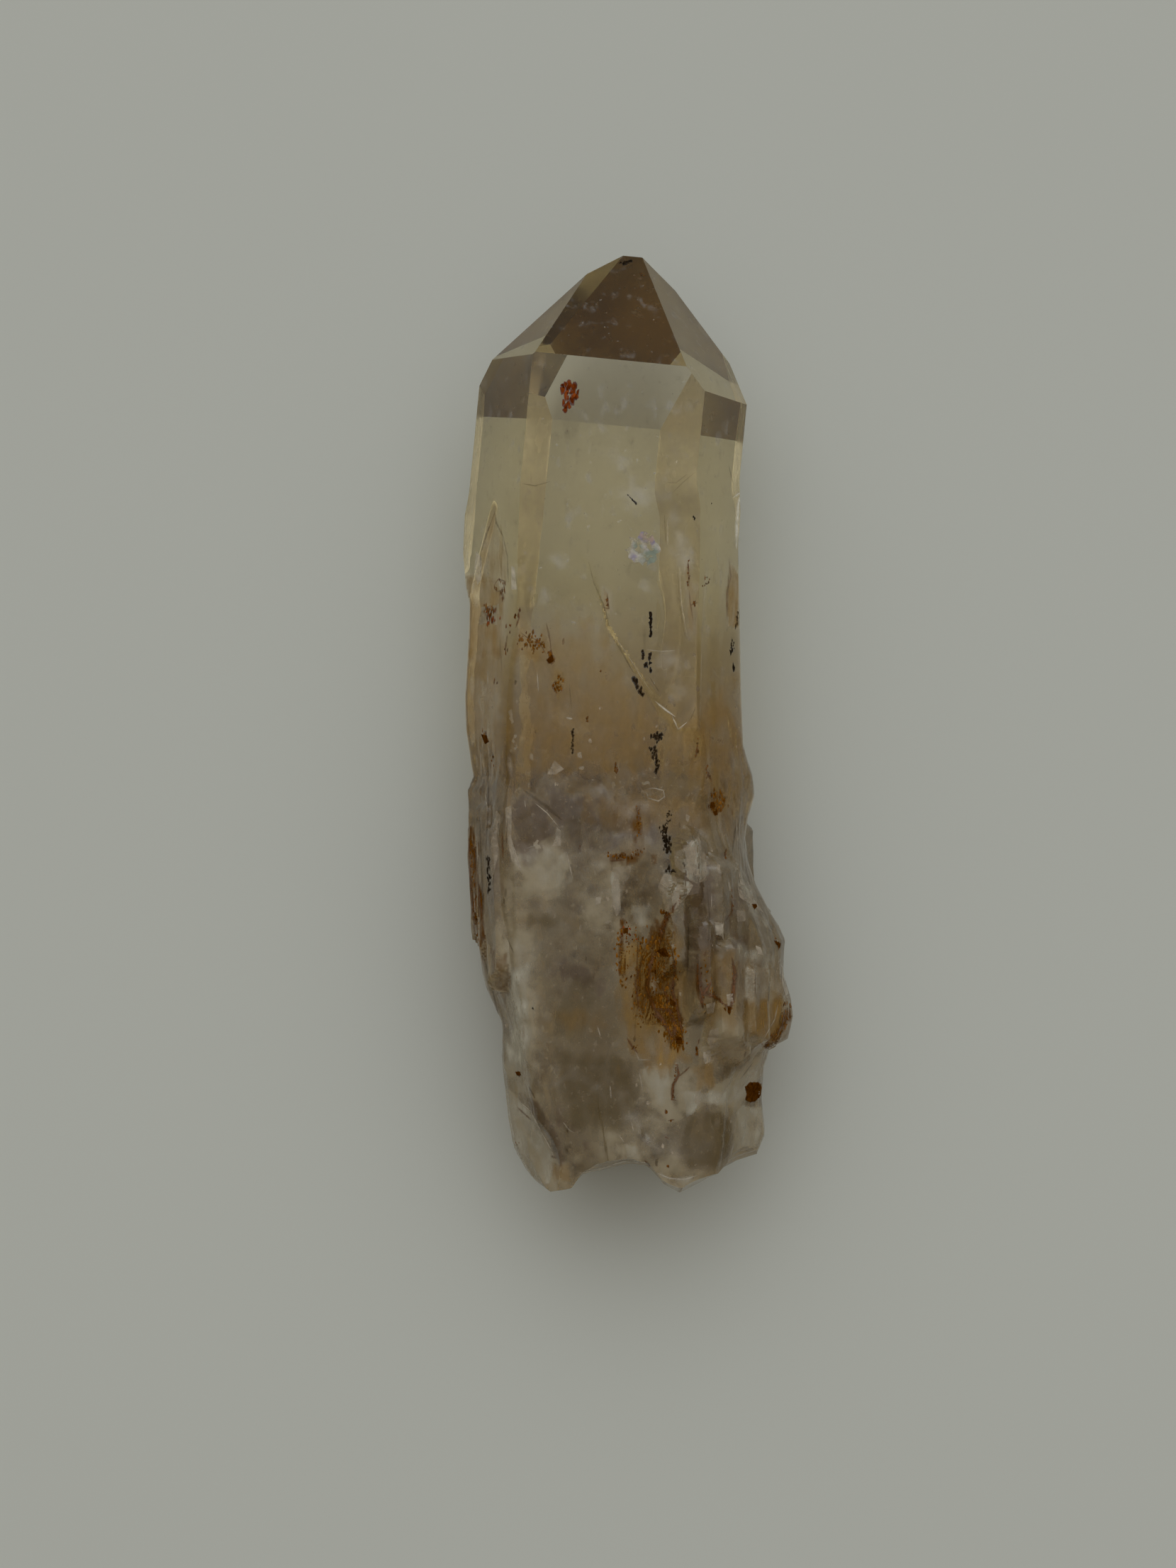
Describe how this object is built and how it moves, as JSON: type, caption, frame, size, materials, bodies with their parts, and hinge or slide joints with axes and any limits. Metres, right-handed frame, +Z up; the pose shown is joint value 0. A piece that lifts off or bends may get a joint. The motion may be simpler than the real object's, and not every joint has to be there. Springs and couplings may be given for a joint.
{
  "type": "citrine crystal",
  "caption": "Natural citrine point lying on one prism face: clear six-sided tip, etched stem, milky root with small side crystals and a broken base.",
  "frame": {"origin": "on the surface the crystal lies on, under the middle of its bounding box", "axes": "+Y along the crystal towards its tip, +Z up out of the surface, +X to the right as seen from above with the tip away from the viewer"},
  "size_m": [0.0318, 0.0902, 0.0217],
  "materials": {
    "citrine": "clear smoky-yellow quartz at the tip, etched and iron-stained below, milky and mauve-grey at the root"
  },
  "bodies": {
    "root": {"citrine_crystal": "citrine"}
  },
  "joints": []
}
